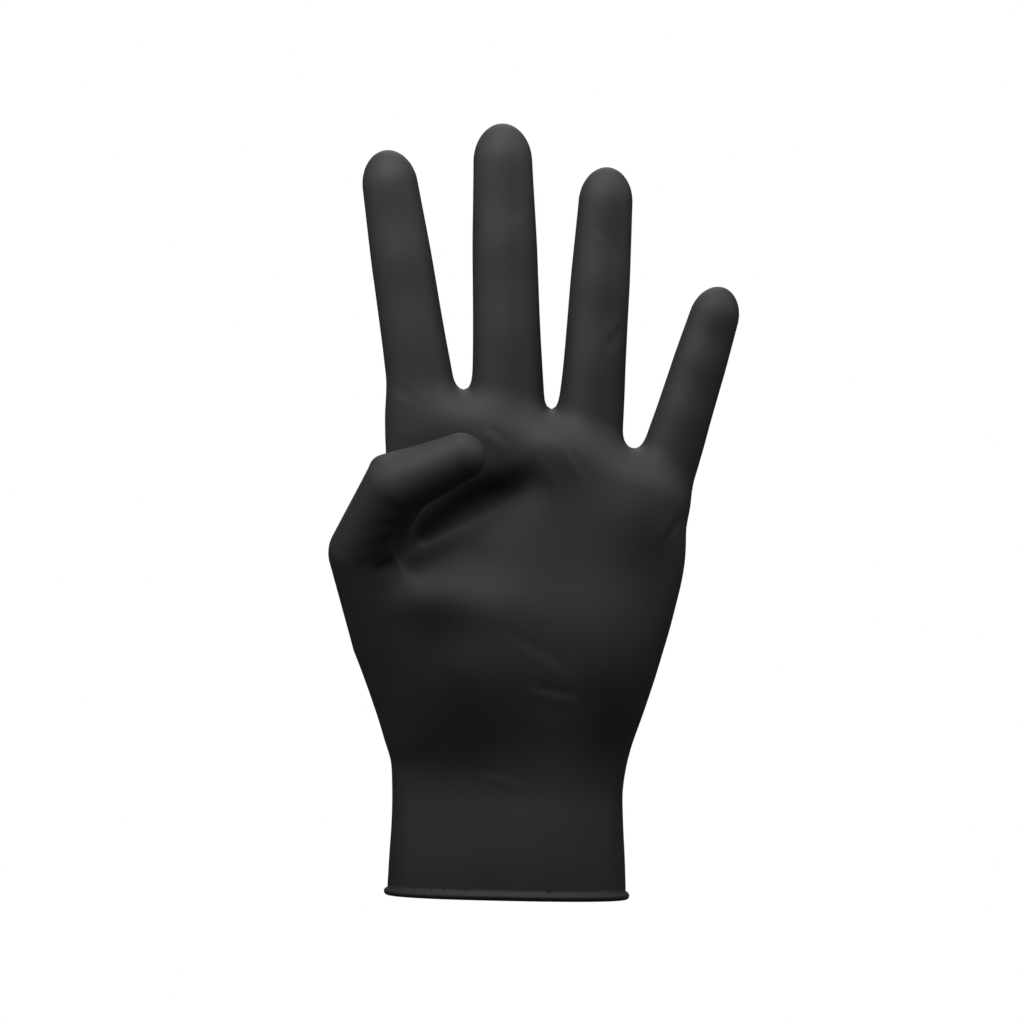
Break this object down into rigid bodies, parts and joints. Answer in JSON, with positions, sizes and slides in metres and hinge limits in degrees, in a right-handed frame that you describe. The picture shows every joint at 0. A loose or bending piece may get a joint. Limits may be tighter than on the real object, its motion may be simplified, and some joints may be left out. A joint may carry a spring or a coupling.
{
  "type": "nitrile exam glove",
  "caption": "Black nitrile exam glove in the form of a worn hand, four fingers up and the thumb folded over the palm, open at a beaded wrist.",
  "frame": {"origin": "centre of the wrist opening, in the plane of the rolled bead", "axes": "+Z from the wrist to the fingertips, -Y out of the palm, +X across the palm from the thumb's side to the little finger"},
  "size_m": [0.1268, 0.063, 0.2405],
  "materials": {
    "nitrile_film": "matt black dipped nitrile with a soft sheen"
  },
  "bodies": {
    "root": {"glove": "nitrile_film"}
  },
  "joints": []
}
